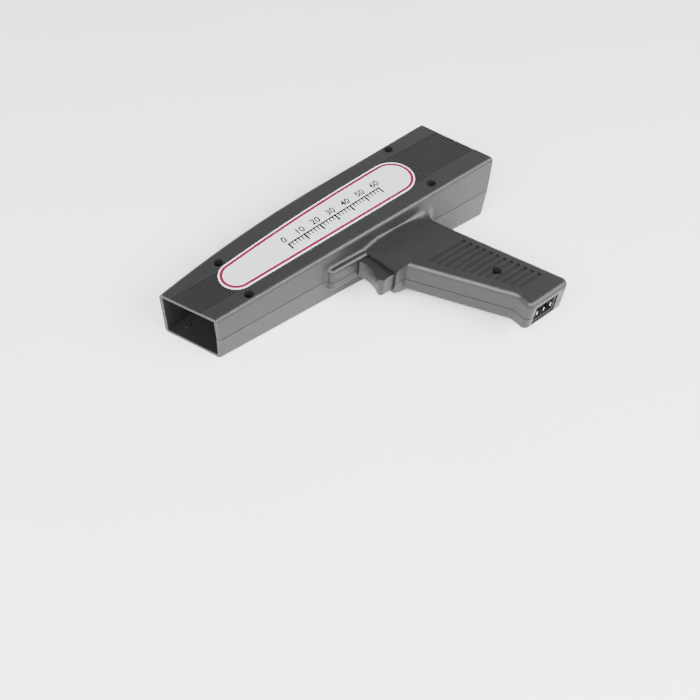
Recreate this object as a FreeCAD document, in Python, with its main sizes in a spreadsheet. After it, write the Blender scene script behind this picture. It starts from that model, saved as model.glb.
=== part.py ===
import FreeCAD, Part
import math
import os

import Sketcher

# Timing light: pistol-shaped case in two halves, lying on its right side.
# Working frame (before FRAME is applied): X runs along the barrel from the muzzle to the
# rear, Y from the handle side to the spine, Z = 0 is the parting plane and +Z is the left
# (label) half.  FRAME then lays the flat of the right half on the ground.

V = FreeCAD.Vector
doc = FreeCAD.newDocument("timing_light")
sheet = doc.addObject("Spreadsheet::Sheet", "Sizes")

DIMENSIONS = [
    # barrel
    ("barrel_length", 230.0), ("mouth_rise", 40.1), ("rear_rise", 60.2), ("rake", 15.8),
    ("spine_x", 112.0), ("spine_y", 56.1), ("spine_radius", 760.0),
    ("mouth_left", 18.0), ("mouth_right", 18.4), ("rear_left", 28.5), ("rear_right", 26.0),
    ("wall", 2.4), ("draft", 2.0), ("barrel_round", 3.0),
    # handle block and trigger rail
    ("rail_x", 82.0), ("rail_out", 4.6), ("rail_left", 10.0), ("rail_right", 7.8),
    ("rail_round", 2.6), ("rail_nose_round", 3.8), ("front_x", 112.3), ("front_lean", 3.2),
    ("ledge_y", 29.2), ("ledge_depth", 8.3), ("slope_run", 11.0),
    ("grip_near_x", 161.3), ("grip_bend_y", 91.0), ("grip_end_y", 103.2),
    ("grip_far_x", 200.1), ("grip_root_x", 163.5), ("grip_left", 13.6), ("grip_right", 11.2),
    ("grip_round", 3.8), ("end_near_round", 4.2), ("end_far_round", 5.0), ("grip_bend_round", 6.0),
    ("rail_crease", 2.5), ("ridge_crease", 3.0), ("crease_round", 6.0), ("root_round", 9.0),
    # screws and their wells
    ("well_bore", 6.1), ("well_wall", 1.5), ("well_floor", 4.0), ("screw_front_x", 26.3),
    ("screw_rear_x", 178.4), ("screw_front_near", 5.9), ("screw_front_far", 38.4),
    ("screw_rear_near", 8.9), ("screw_rear_far", 53.1), ("grip_screw_x", 166.4),
    ("grip_screw_y", 68.0), ("screw_shank", 2.9), ("screw_head", 5.6), ("screw_head_high", 2.2),
    ("screw_length", 15.0), ("grip_screw_length", 10.0), ("screw_slack", 0.15), ("boss_wall", 2.2),
    # ribs and grooves
    ("slot_count", 12.0), ("slot_pitch", 4.59), ("slot_wide", 2.5), ("slot_deep", 1.0),
    ("slot_first_y", 36.1), ("slot_near_gap", 8.8), ("slot_far_gap", 7.2),
    ("groove_pitch", 2.06), ("groove_wide", 0.95), ("groove_deep", 0.55),
    ("groove_front_y", 11.9), ("groove_front_pitch", 1.92), ("groove_front_end", 22.0),
    ("groove_rear_y", 16.0), ("groove_rear_start", 160.0),
    # label
    ("label_front_x", 29.6), ("label_front_y", 23.0), ("label_front_round", 11.7),
    ("label_rear_x", 161.0), ("label_rear_y", 29.3), ("label_rear_round", 15.6),
    ("label_thick", 0.4), ("label_sunk", 0.15), ("label_bulge", 1.6),
    # trigger
    ("trigger_x", 102.4), ("trigger_left", 8.0), ("trigger_right", 6.0), ("trigger_y", 27.5),
    ("trigger_dish", 3.2), ("trigger_gap", 0.3), ("trigger_tip", 2.8), ("trigger_run", 6.0),
    ("flange_x", 118.4), ("flange_thick", 2.2), ("flange_over", 1.0), ("post_radius", 1.6),
    ("post_length", 4.0), ("spring_radius", 3.2), ("spring_wire", 0.7), ("spring_turns", 6.0),
    ("spring_length", 14.0), ("spring_y", 12.0),
    # optics
    ("axis_y", 22.0), ("lens_x", 46.0), ("lens_radius", 17.0), ("lens_edge", 2.4),
    ("lens_crown", 6.0), ("ring_thick", 4.0), ("fit_gap", 0.2), ("seat_deep", 0.8),
    ("reflector_x", 96.0), ("reflector_deep", 14.0), ("reflector_half", 14.0),
    ("reflector_sheet", 0.8), ("reflector_high", 24.0), ("tube_radius", 2.2),
    ("tube_length", 30.0), ("cap_length", 3.0), ("focus", 4.0), ("holder_thick", 2.4),
    ("coil_radius", 4.5), ("coil_length", 13.0),
    # electronics
    ("board_x", 112.0), ("board_long", 88.0), ("board_y", 14.0), ("board_wide", 34.0),
    ("board_z", 11.0), ("board_thick", 1.6), ("standoff_radius", 3.0), ("board_inset", 4.0),
    ("board_screw_hole", 1.3), ("board_screw_long", 6.0), ("capacitor_radius", 8.0),
    ("capacitor_long", 30.0), ("core_long", 20.0), ("core_wide", 17.0), ("core_high", 16.0),
    ("core_leg", 5.0), ("bobbin_gap", 0.4), ("sink_wide", 18.0), ("sink_high", 18.0),
    ("sink_thick", 1.6), ("package_thick", 4.4), ("chip_high", 2.4),
    # rear panel and readout
    ("panel_inset", 1.4), ("panel_thick", 2.4), ("display_wide", 34.0), ("display_high", 17.0),
    ("display_up", 39.0), ("window_thick", 1.6), ("window_lip", 1.5), ("module_deep", 7.0),
    ("key_radius", 3.6), ("key_up", 17.0), ("key_pitch", 12.5),
    ("key_out", 1.6), ("key_gap", 0.3), ("key_flange", 1.0),
    ("key_switch_side", 6.0),
    # handle connector
    ("socket_x", 177.2), ("socket_z", 0.7), ("socket_wide", 20.4), ("socket_high", 15.2),
    ("socket_deep", 18.0), ("socket_wall", 1.6), ("socket_cavity", 12.0), ("socket_sunk", 0.8),
    ("flange_side", 1.0), ("pin_wide", 2.8), ("pin_thick", 0.8), ("pin_out", 12.0),
    ("pin_pitch", 6.3), ("pin_tail", 4.0),
    # switch
    ("switch_x", 128.0), ("switch_y", 20.5), ("switch_long", 12.0), ("switch_wide", 6.5),
    ("switch_high", 9.0), ("button_side", 3.0), ("button_hold", 1.5), ("button_bore", 10.0),
    # wiring
    ("lead_radius", 1.1), ("lead_pitch", 2.8),
]


class Size:
    """A length that carries its number and the sheet expression that gives it."""

    def __init__(self, text, value):
        self.text = text
        self.value = float(value)

    def __add__(self, other):
        return Size("(%s + %s)" % (self.text, text_of(other)), self.value + value_of(other))

    def __radd__(self, other):
        return as_size(other) + self

    def __sub__(self, other):
        return Size("(%s - %s)" % (self.text, text_of(other)), self.value - value_of(other))

    def __rsub__(self, other):
        return as_size(other) - self

    def __mul__(self, other):
        return Size("(%s * %s)" % (self.text, text_of(other)), self.value * value_of(other))

    __rmul__ = __mul__

    def __truediv__(self, other):
        return Size("(%s / %s)" % (self.text, text_of(other)), self.value / value_of(other))

    def __neg__(self):
        return Size("(0 - %s)" % self.text, -self.value)


def as_size(item):
    if isinstance(item, Size):
        return item
    return Size("(%r)" % float(item), item)


def text_of(item):
    return as_size(item).text


def value_of(item):
    return as_size(item).value


def tangent(angle):
    return Size("tan(%s * 1 deg)" % angle.text, math.tan(math.radians(angle.value)))


SIZES = {}
for row, (alias, number) in enumerate(DIMENSIONS, start=1):
    sheet.set("A%d" % row, alias)
    sheet.set("B%d" % row, str(number))
    sheet.setAlias("B%d" % row, alias)
    SIZES[alias] = Size("Sizes.%s" % alias, number)
doc.recompute()


def size(alias):
    return SIZES[alias]


def number(alias):
    return SIZES[alias].value


# ---------------------------------------------------------------- document helpers

def bind(item, path, amount):
    item.setExpression(path, text_of(amount))


def origin_plane(body, role):
    for feature in body.Origin.OriginFeatures:
        if feature.Role == role:
            return feature
    raise RuntimeError("no plane " + role)


def new_body(name):
    return doc.addObject("PartDesign::Body", name)


def new_sketch(body, name, role, offset=None):
    sketch = body.newObject("Sketcher::SketchObject", name)
    sketch.AttachmentSupport = [(origin_plane(body, role), "")]
    sketch.MapMode = "FlatFace"
    if offset is not None:
        sketch.AttachmentOffset = offset
    return sketch


def pin_point(sketch, geometry, position, name, x, y):
    """Hold one point of a sketch at sheet-driven coordinates."""
    for kind, letter, amount in (("DistanceX", "x", x), ("DistanceY", "y", y)):
        index = sketch.addConstraint(Sketcher.Constraint(kind, geometry, position, value_of(amount)))
        sketch.renameConstraint(index, name + letter)
        bind(sketch, "Constraints." + name + letter, amount)


def draw_loop(sketch, points, arcs=None, tag="p"):
    """Closed outline through points.  arcs maps the index of an edge's first point to the
    (mid x, mid y, radius) of the arc that takes the place of the straight edge; a half circle
    across the ends of an upright edge has no radius, its centre is held instead."""
    arcs = arcs or {}
    count = len(points)
    first = sketch.GeometryCount
    flips = []
    for index in range(count):
        start = V(value_of(points[index][0]), value_of(points[index][1]), 0)
        after = points[(index + 1) % count]
        end = V(value_of(after[0]), value_of(after[1]), 0)
        if index in arcs:
            middle = V(value_of(arcs[index][0]), value_of(arcs[index][1]), 0)
            curve = Part.Arc(start, middle, end)
            sketch.addGeometry(curve, False)
            flips.append((sketch.getPoint(first + index, 1) - start).Length > 1e-4)
        else:
            sketch.addGeometry(Part.LineSegment(start, end), False)
            flips.append(False)
    for index in range(count):
        here = first + index
        after = first + (index + 1) % count
        end_of_here = 1 if flips[index] else 2
        start_of_next = 2 if flips[(index + 1) % count] else 1
        sketch.addConstraint(Sketcher.Constraint("Coincident", here, end_of_here, after, start_of_next))
    for index, (x, y) in enumerate(points):
        start = 2 if flips[index] else 1
        pin_point(sketch, first + index, start, "%s%d" % (tag, index), x, y)
    for index, (_, _, radius) in arcs.items():
        if radius is None:
            centre_x = points[index][0]
            rule = Sketcher.Constraint("DistanceX", first + index, 3, value_of(centre_x))
            held = sketch.addConstraint(rule)
            bind(sketch, "Constraints[%d]" % held, centre_x)
            continue
        held = sketch.addConstraint(Sketcher.Constraint("Radius", first + index, value_of(radius)))
        sketch.renameConstraint(held, "%s%dr" % (tag, index))
        bind(sketch, "Constraints.%s%dr" % (tag, index), radius)


def pad(body, name, sketch, length, reverse=False, taper=None, middle=False):
    feature = body.newObject("PartDesign::Pad", name)
    feature.Profile = sketch
    feature.Length = value_of(length)
    bind(feature, "Length", length)
    feature.Reversed = reverse
    if middle:
        feature.Midplane = True
    if taper is not None:
        feature.TaperAngle = value_of(taper)
        bind(feature, "TaperAngle", taper)
    return feature


def pocket(body, name, sketch, length=None, reverse=False):
    """Cut a sketch: through everything both ways, or to a depth."""
    feature = body.newObject("PartDesign::Pocket", name)
    feature.Profile = sketch
    feature.Refine = False
    if length is None:
        feature.Type = 1
        feature.Midplane = True
    else:
        feature.Length = value_of(length)
        bind(feature, "Length", length)
        feature.Reversed = reverse
    return feature


def round_edges(body, name, base, radius, wanted):
    """PartDesign fillet on the edges of base whose mid point passes wanted(point, edge)."""
    doc.recompute()
    names = []
    for index, edge in enumerate(base.Shape.Edges, start=1):
        middle = edge.valueAt((edge.FirstParameter + edge.LastParameter) / 2)
        if wanted(middle, edge):
            names.append("Edge%d" % index)
    if not names:
        raise RuntimeError("no edges for " + name)
    feature = body.newObject("PartDesign::Fillet", name)
    feature.Base = (base, names)
    feature.Refine = False
    feature.Radius = value_of(radius)
    bind(feature, "Radius", radius)
    return feature


def box(name, low, spans):
    """Part::Box with its low corner and its three spans tied to the sheet."""
    item = doc.addObject("Part::Box", name)
    for path, amount in zip(("Length", "Width", "Height"), spans):
        bind(item, path, amount)
    for path, amount in zip("xyz", low):
        bind(item, "Placement.Base." + path, amount)
    return item


TURNS = {
    "x": FreeCAD.Rotation(V(0, 1, 0), 90),
    "y": FreeCAD.Rotation(V(1, 0, 0), -90),
    "z": FreeCAD.Rotation(),
}


def cylinder(name, base, axis, radius, height):
    """Part::Cylinder that starts at base and runs along +x, +y or +z."""
    item = doc.addObject("Part::Cylinder", name)
    item.Placement = FreeCAD.Placement(V(0, 0, 0), TURNS[axis])
    bind(item, "Radius", radius)
    bind(item, "Height", height)
    for path, amount in zip("xyz", base):
        bind(item, "Placement.Base." + path, amount)
    return item


def cut(name, base, tools):
    item = doc.addObject("Part::Cut", name)
    item.Base = base
    item.Tool = tools[0] if len(tools) == 1 else fuse(name + "_tools", tools)
    return item


def fuse(name, items):
    item = doc.addObject("Part::MultiFuse", name)
    item.Shapes = items
    item.Refine = True
    return item


def common(name, items):
    item = doc.addObject("Part::MultiCommon", name)
    item.Shapes = items
    return item


def group(name, items):
    item = doc.addObject("Part::Compound", name)
    item.Links = items
    return item


NODES = {}


def node(label, item):
    """Register a finished sub-part."""
    item.Label = label
    NODES[label] = item
    return item


def prism(name, role, outline, length, reverse=False, middle=False, offset=None, arcs=None):
    """A body with one padded outline."""
    body = new_body(name)
    sketch = new_sketch(body, name + "_outline", role, offset)
    draw_loop(sketch, outline, arcs)
    pad(body, name + "_pad", sketch, length, reverse, None, middle)
    return body


# ---------------------------------------------------------------- shared geometry

LENGTH = size("barrel_length")
WALL = size("wall")
FAR_SLOPE = (size("grip_far_x") - size("grip_root_x")) / size("grip_end_y")
NEAR_START = size("front_x") + size("front_lean") + size("ledge_depth")
NEAR_SLOPE = (size("grip_near_x") - NEAR_START) / (size("grip_bend_y") - size("ledge_y"))
LEFT_TILT = (size("rear_left") - size("mouth_left")) / LENGTH
RIGHT_TILT = (size("rear_right") - size("mouth_right")) / LENGTH
SLACK = 12.0
DEEP = 60.0


def half_height(side, x):
    """Thickness of one half of the barrel above or below the parting plane at x."""
    if side == "left":
        return size("mouth_left") + LEFT_TILT * x
    return size("mouth_right") + RIGHT_TILT * x


def signed(side, amount):
    return amount if side == "left" else -amount


def spine_run_on(run, radius):
    """How far the spine falls at the muzzle and rises at the rear when it runs on past them."""
    long = number("spine_x") + number("rake")
    high = number("spine_y") - number("mouth_rise")
    lean = math.atan(high / long) + math.asin(math.hypot(long, high) / 2 / radius)
    drop = run * math.tan(lean) + run * run / (2 * radius * math.cos(lean) ** 3)
    straight = number("barrel_length") - number("rake") - number("spine_x")
    return drop, run * (number("rear_rise") - number("spine_y")) / straight


def barrel_outline(inset, run):
    """Plan of the barrel, moved in by inset at the sides and out by run at the ends."""
    rake = size("rake")
    radius = size("spine_radius") - inset
    spine_y = size("spine_y") - inset
    drop, rise = spine_run_on(run.value, radius.value)
    mouth_y = size("mouth_rise") - inset - drop
    rear_y = size("rear_rise") - inset + rise
    points = [(-run, inset), (LENGTH + run, inset), (LENGTH - rake + run, rear_y),
              (size("spine_x"), spine_y), (-rake - run, mouth_y)]
    chord_x = (points[3][0] + points[4][0]) / 2
    chord_y = (points[3][1] + points[4][1]) / 2
    reach = math.hypot(value_of(points[3][0] - points[4][0]), value_of(points[3][1] - points[4][1]))
    bow = reach * reach / (8 * value_of(radius))
    return points, {3: (chord_x, chord_y + bow, radius)}


def slant_region(side, lift, high):
    """Side view region outside the sloping flat of a half; lift moves it inwards."""
    start = half_height(side, -as_size(SLACK * 3)) - lift
    end = half_height(side, LENGTH + SLACK * 3) - lift
    front, rear = as_size(-SLACK * 3), LENGTH + SLACK * 3
    lid = signed(side, as_size(high))
    return [(front, signed(side, start)), (rear, signed(side, end)), (rear, lid), (front, lid)]


def barrel_block(name, side, inset, run):
    body = new_body(name)
    plan = new_sketch(body, name + "_plan", "XY_Plane")
    outline, arcs = barrel_outline(inset, run)
    draw_loop(plan, outline, arcs)
    pad(body, name + "_pad", plan, as_size(DEEP), side == "right")
    flat = new_sketch(body, name + "_flat", "XZ_Plane")
    draw_loop(flat, slant_region(side, inset, DEEP + SLACK))
    pocket(body, name + "_slant", flat)
    lean = new_sketch(body, name + "_lean", "YZ_Plane")
    wedge = [(inset, as_size(0)), (inset + tangent(size("draft")) * DEEP, signed(side, as_size(DEEP))),
             (inset - SLACK, signed(side, as_size(DEEP))), (inset - SLACK, as_size(0))]
    draw_loop(lean, wedge)
    pocket(body, name + "_draft", lean)
    return body


def handle_profile(side, lift):
    """Side view region above the rail, the slope behind the trigger and the grip."""
    rail = size("rail_left") if side == "left" else size("rail_right")
    top = size("grip_left") if side == "left" else size("grip_right")
    front = size("front_x")
    over = 1.4
    points = [(size("rail_x") - SLACK, rail - lift), (front, rail - lift),
              (front + size("slope_run") * over, rail - lift + (top - rail) * over),
              (front + size("slope_run") * over, as_size(DEEP)), (size("rail_x") - SLACK, as_size(DEEP))]
    return [(x, signed(side, z)) for x, z in points]


def handle_outline():
    root = SLACK
    return [(size("rail_x"), as_size(root)), (size("rail_x"), -size("rail_out")),
            (size("front_x"), -size("rail_out")),
            (size("front_x") + size("front_lean"), -size("ledge_y")), (NEAR_START, -size("ledge_y")),
            (size("grip_near_x"), -size("grip_bend_y")), (size("grip_near_x"), -size("grip_end_y")),
            (size("grip_far_x"), -size("grip_end_y")),
            (size("grip_root_x") - FAR_SLOPE * root, as_size(root))]


def handle_core_outline():
    """Inside of the handle: the outline moved in by the wall, open into the barrel."""
    near_in = WALL * 1.17
    far_in = WALL * 1.06
    ledge = size("ledge_y") - WALL
    near_x = size("grip_near_x") + WALL
    bend = size("grip_bend_y") - WALL * 0.3
    front = size("front_x") + WALL * 1.1
    return [(front - 0.4, as_size(SLACK)), (front, -size("rail_out")),
            (front + size("front_lean") - 0.2, -ledge),
            (NEAR_START + near_in - NEAR_SLOPE * WALL, -ledge), (near_x, -bend),
            (near_x, -(size("grip_end_y") - WALL)),
            (size("grip_far_x") - far_in - FAR_SLOPE * WALL, -(size("grip_end_y") - WALL)),
            (size("grip_root_x") - far_in - FAR_SLOPE * SLACK, as_size(SLACK))]


def vertical_at(x, y, reach=1.0):
    """Selects the upright edge nearest to a plan position."""
    def wanted(middle, edge):
        box_of = edge.BoundBox
        upright = box_of.ZLength > 2.0 and box_of.XLength < 1.2 and box_of.YLength < 1.2
        return upright and abs(middle.x - value_of(x)) < reach and abs(middle.y - value_of(y)) < reach
    return wanted


def middle_of(edge):
    return edge.valueAt((edge.FirstParameter + edge.LastParameter) / 2)


def rounded(name, base, radii):
    """Part::Fillet on base.  radii(point, edge) gives None, or the radius at each end."""
    doc.recompute()
    edges = []
    for index, edge in enumerate(base.Shape.Edges, start=1):
        ends = radii(middle_of(edge), edge)
        if ends is not None:
            start, end = ends
            if edge.Orientation == "Reversed":
                start, end = end, start
            edges.append((index, start, end))
    if not edges:
        raise RuntimeError("no edges for " + name)
    item = doc.addObject("Part::Fillet", name)
    item.Base = base
    item.Edges = edges
    return item


def grip_height(side):
    return size("grip_left") if side == "left" else size("grip_right")


def rail_height(side):
    return size("rail_left") if side == "left" else size("rail_right")


def handle_block(name, side):
    body = new_body(name)
    plan = new_sketch(body, name + "_plan", "XY_Plane")
    draw_loop(plan, handle_outline())
    base = pad(body, name + "_pad", plan, grip_height(side), side == "right")
    corners = [(size("rail_x"), -size("rail_out"), "rail_nose_round"),
               (size("grip_near_x"), -size("grip_end_y"), "end_near_round"),
               (size("grip_far_x"), -size("grip_end_y"), "end_far_round"),
               (size("grip_near_x"), -size("grip_bend_y"), "grip_bend_round")]
    for index, (x, y, radius) in enumerate(corners):
        base = round_edges(body, "%s_corner%d" % (name, index), base, size(radius), vertical_at(x, y))
    top = grip_height(side).value
    ledge = -number("ledge_y") - 0.5
    root = number("grip_root_x") - 6.0
    rim = number("grip_round")

    def grip_rim(middle, edge):
        outside = middle.y < ledge or middle.x > root
        on_top = abs(abs(middle.z) - top) < 0.01 and middle.y < SLACK - 0.5
        return (rim, rim) if on_top and outside else None

    rimmed = rounded(name + "_rim", body, grip_rim)
    above = prism(name + "_above", "XZ_Plane", handle_profile(side, as_size(0)), as_size(DEEP * 5),
                  middle=True)
    shaped = cut(name + "_shaped", rimmed, [above])
    rail_top = rail_height(side).value
    rail_end = number("front_x") - 0.5
    soft = number("rail_round")

    def rail_rim(middle, edge):
        on_rail = middle.x < rail_end and middle.y < SLACK - 0.5
        return (soft, soft) if abs(abs(middle.z) - rail_top) < 0.01 and on_rail else None

    return rounded(name + "_rail", shaped, rail_rim)


def handle_core(name, side):
    high = grip_height(side) - WALL
    plan = prism(name + "_plan", "XY_Plane", handle_core_outline(), high, side == "right")
    above = prism(name + "_above", "XZ_Plane", handle_profile(side, WALL), as_size(DEEP * 5), middle=True)
    return cut(name, plan, [above])


def barrel_shell(name, side):
    """Outer barrel with its two long top edges rounded, trimmed to its raked ends."""
    block = barrel_block(name + "_block", side, as_size(0), as_size(SLACK))
    soft = number("barrel_round")

    def long_edges(middle, edge):
        high = half_height(side, as_size(middle.x)).value
        on_top = abs(abs(middle.z) - high) < 0.05
        lengthwise = edge.BoundBox.XLength > 50.0
        return (soft, soft) if on_top and lengthwise else None

    low, high = as_size(SLACK), as_size(DEEP * 2)
    mouth = size("rake") / size("mouth_rise")
    rear = size("rake") / size("rear_rise")
    ends = prism(name + "_ends", "XY_Plane",
                 [(mouth * low, -low), (LENGTH + rear * low, -low), (LENGTH - rear * high, high),
                  (-(mouth * high), high)], as_size(DEEP * 2), middle=True)
    return common(name, [rounded(name + "_round", block, long_edges), ends])


def case_outside(side):
    """Barrel and handle joined, with the blends where the grip grows out of the barrel."""
    barrel = barrel_shell("barrel_" + side, side)
    handle = handle_block("handle_" + side, side)
    joined = fuse("outside_" + side, [barrel, handle])
    lean = math.tan(math.radians(number("draft")))
    top = grip_height(side).value
    slope_start = number("front_x") + 0.5
    ridge = slope_start + number("slope_run")

    def radius_at(point):
        if abs(point.z) < top - 0.1 and point.x > ridge:
            return number("root_round")
        if point.x < slope_start:
            return number("rail_crease")
        return number("ridge_crease") if point.x < ridge else number("crease_round")

    def blend(middle, edge):
        on_wall = abs(middle.y - abs(middle.z) * lean) < 0.02 and abs(middle.z) > 0.02
        in_reach = number("rail_x") - 1.0 < middle.x < number("grip_root_x") + 2.0
        if not on_wall or not in_reach or abs(middle.z) > top + 0.1:
            return None
        return tuple(radius_at(vertex.Point) for vertex in edge.Vertexes)

    return rounded("case_" + side, joined, blend)


# ---------------------------------------------------------------- housings

BARREL_SCREWS = [("screw_front_x", "screw_front_near"), ("screw_front_x", "screw_front_far"),
                 ("screw_rear_x", "screw_rear_near"), ("screw_rear_x", "screw_rear_far")]


def screw_places():
    """Plan position, local half thicknesses and name of every case screw."""
    places = []
    for index, (x, y) in enumerate(BARREL_SCREWS):
        places.append(("barrel%d" % index, size(x), size(y), half_height("left", size(x)),
                       half_height("right", size(x))))
    places.append(("grip", size("grip_screw_x"), -size("grip_screw_y"), size("grip_left"),
                   size("grip_right")))
    return places


def head_seat(tag):
    return size("well_floor") if tag != "grip" else size("well_floor") / 2


def left_wells():
    tubes, holes = [], []
    outer = size("well_bore") / 2 + size("well_wall")
    for tag, x, y, left, _ in screw_places():
        tubes.append(cylinder("well_" + tag, (x, y, as_size(0)), "z", outer, left - WALL / 2))
        seat = head_seat(tag)
        holes.append(cylinder("well_bore_" + tag, (x, y, seat), "z", size("well_bore") / 2, left + SLACK))
        shank = size("screw_shank") / 2 + size("screw_slack")
        holes.append(cylinder("well_hole_" + tag, (x, y, -as_size(1)), "z", shank, seat + 2))
    return tubes, holes


def right_bosses():
    posts, holes = [], []
    for tag, x, y, _, right in screw_places():
        long = right - WALL / 2
        shank = size("screw_shank") / 2
        posts.append(cylinder("post_" + tag, (x, y, -long), "z", shank + size("boss_wall"), long))
        deep = size("screw_length") if tag != "grip" else size("grip_screw_length")
        reach = deep - head_seat(tag) + 1.0
        holes.append(cylinder("post_hole_" + tag, (x, y, -reach), "z", shank + 0.03, reach + 1))
    return posts, holes


def tilt_placement(side):
    """Plane of the sloping flat of one half."""
    tilt = math.degrees(math.atan((LEFT_TILT if side == "left" else RIGHT_TILT).value))
    high = number("mouth_" + side)
    if side == "left":
        return FreeCAD.Placement(V(0, 0, high), FreeCAD.Rotation(V(0, 1, 0), -tilt))
    return FreeCAD.Placement(V(0, 0, -high), FreeCAD.Rotation(V(0, 1, 0), tilt))


def groove_band(name, side, start, end, first_y, count, pitch):
    """Fine grooves along the barrel, cut down from the sloping flat."""
    body = new_body(name)
    sketch = new_sketch(body, name + "_lines", "XY_Plane", tilt_placement(side))
    for index in range(count):
        low = size(first_y) + size(pitch) * index
        high = low + size("groove_wide")
        points = [(start, low), (end, low), (end, high), (start, high)]
        draw_loop(sketch, points, tag="g%d_" % index)
    feature = pad(body, name + "_pad", sketch, size("groove_deep") * 2, False, None, True)
    feature.Refine = False
    return body


def grooves(side):
    rear = groove_band("rear_grooves_" + side, side, size("groove_rear_start"), LENGTH + 4.0,
                       "groove_rear_y", 15, "groove_pitch")
    front = groove_band("front_grooves_" + side, side, -size("rake") - 4.0, size("groove_front_end"),
                        "groove_front_y", 11, "groove_front_pitch")
    return [rear, front]


def grip_near_at(y):
    return NEAR_START + NEAR_SLOPE * (y - size("ledge_y"))


def grip_far_at(y):
    return size("grip_root_x") + FAR_SLOPE * y


def rib_slots(side):
    """The recessed ribs across the grip, as long as the grip is wide there."""
    body = new_body("slots_" + side)
    high = grip_height(side)
    sketch = new_sketch(body, "slot_lines_" + side, "XY_Plane")
    sketch.AttachmentOffset = FreeCAD.Placement(V(0, 0, signed(side, high).value), FreeCAD.Rotation())
    bind(sketch, "AttachmentOffset.Base.z", signed(side, high))
    for index in range(int(number("slot_count"))):
        y = size("slot_first_y") + size("slot_pitch") * index
        half = size("slot_wide") / 2
        start = grip_near_at(y) + size("slot_near_gap")
        end = grip_far_at(y) - size("slot_far_gap")
        points = [(start, -y - half), (end, -y - half), (end, half - y), (start, half - y)]
        draw_loop(sketch, points, tag="s%d_" % index)
    pad(body, "slots_pad_" + side, sketch, size("slot_deep") * 2, False, None, True)
    return body


def label_outline(gap):
    """Tapered stadium; gap moves its edge outwards."""
    front_x, front_y = size("label_front_x"), size("label_front_y")
    rear_x, rear_y = size("label_rear_x"), size("label_rear_y")
    front, rear = size("label_front_round") + gap, size("label_rear_round") + gap
    points = [(front_x, front_y - front), (rear_x, rear_y - rear), (rear_x, rear_y + rear),
              (front_x, front_y + front)]
    chord = math.hypot(value_of(rear_x - front_x), value_of(rear_y + rear - front_y - front))
    bow = number("label_bulge")
    bulge = Size("(%r)" % round((chord * chord / 4 + bow * bow) / (2 * bow), 3),
                 round((chord * chord / 4 + bow * bow) / (2 * bow), 3))
    middle = ((rear_x + front_x) / 2, (rear_y + rear + front_y + front) / 2 + bow, bulge)
    arcs = {1: (rear_x + rear, rear_y, None), 2: middle, 3: (front_x - front, front_y, None)}
    return points, arcs


def label_solid(name, gap, low, high):
    """Flat plate on the left flat from low to high, measured from the surface."""
    body = new_body(name)
    place = tilt_placement("left")
    place = place.multiply(FreeCAD.Placement(V(0, 0, low.value), FreeCAD.Rotation()))
    sketch = new_sketch(body, name + "_outline", "XY_Plane", place)
    points, arcs = label_outline(gap)
    draw_loop(sketch, points, arcs)
    pad(body, name + "_pad", sketch, high - low)
    return body


def cross_slab(name, start, thick, inset):
    """Plate square to the barrel that fills its section, inset from the outside."""
    pieces = []
    for side in ("left", "right"):
        pieces.append(barrel_block("%s_%s" % (name, side), side, inset, as_size(0)))
    whole = fuse(name + "_section", pieces)
    slab = box(name + "_slab", (start, as_size(-SLACK), as_size(-DEEP)),
               (thick, as_size(DEEP * 2), as_size(DEEP * 2)))
    return common(name, [whole, slab])


RAKE_ANGLE = math.degrees(math.atan(number("rake") / number("rear_rise")))
PANEL = FreeCAD.Placement(V(number("barrel_length"), 0, 0), FreeCAD.Rotation(V(0, 0, 1), RAKE_ANGLE))


def panel_slab(name, inset_from_edge, start, thick):
    """Plate parallel to the raked rear face; start is its depth below that face."""
    pieces = []
    for side in ("left", "right"):
        pieces.append(barrel_block("%s_%s" % (name, side), side, inset_from_edge, as_size(0)))
    whole = fuse(name + "_section", pieces)
    slab = doc.addObject("Part::Box", name + "_slab")
    bind(slab, "Length", thick)
    slab.Width = DEEP * 2
    slab.Height = DEEP * 2
    low = FreeCAD.Placement(V(-(start + thick).value, -SLACK, -DEEP), FreeCAD.Rotation())
    slab.Placement = PANEL.multiply(low)
    return common(name, [whole, slab])


def socket_box(name, grow, start, deep):
    """Upright block on the connector axis; start is its depth inside the grip's end."""
    low = (size("socket_x") - size("socket_wide") / 2 - grow, start - size("grip_end_y"),
           size("socket_z") - size("socket_high") / 2 - grow)
    spans = (size("socket_wide") + grow * 2, deep, size("socket_high") + grow * 2)
    return box(name, low, spans)


def trigger_window(name):
    gap = size("trigger_gap")
    low = (size("trigger_x") - SLACK, -size("trigger_y") - gap, -size("trigger_right") - gap)
    spans = (size("flange_x") + size("trigger_run") + SLACK - size("trigger_x"),
             size("trigger_y") + gap - size("rail_out"),
             size("trigger_left") + size("trigger_right") + gap * 2)
    return box(name, low, spans)


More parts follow.
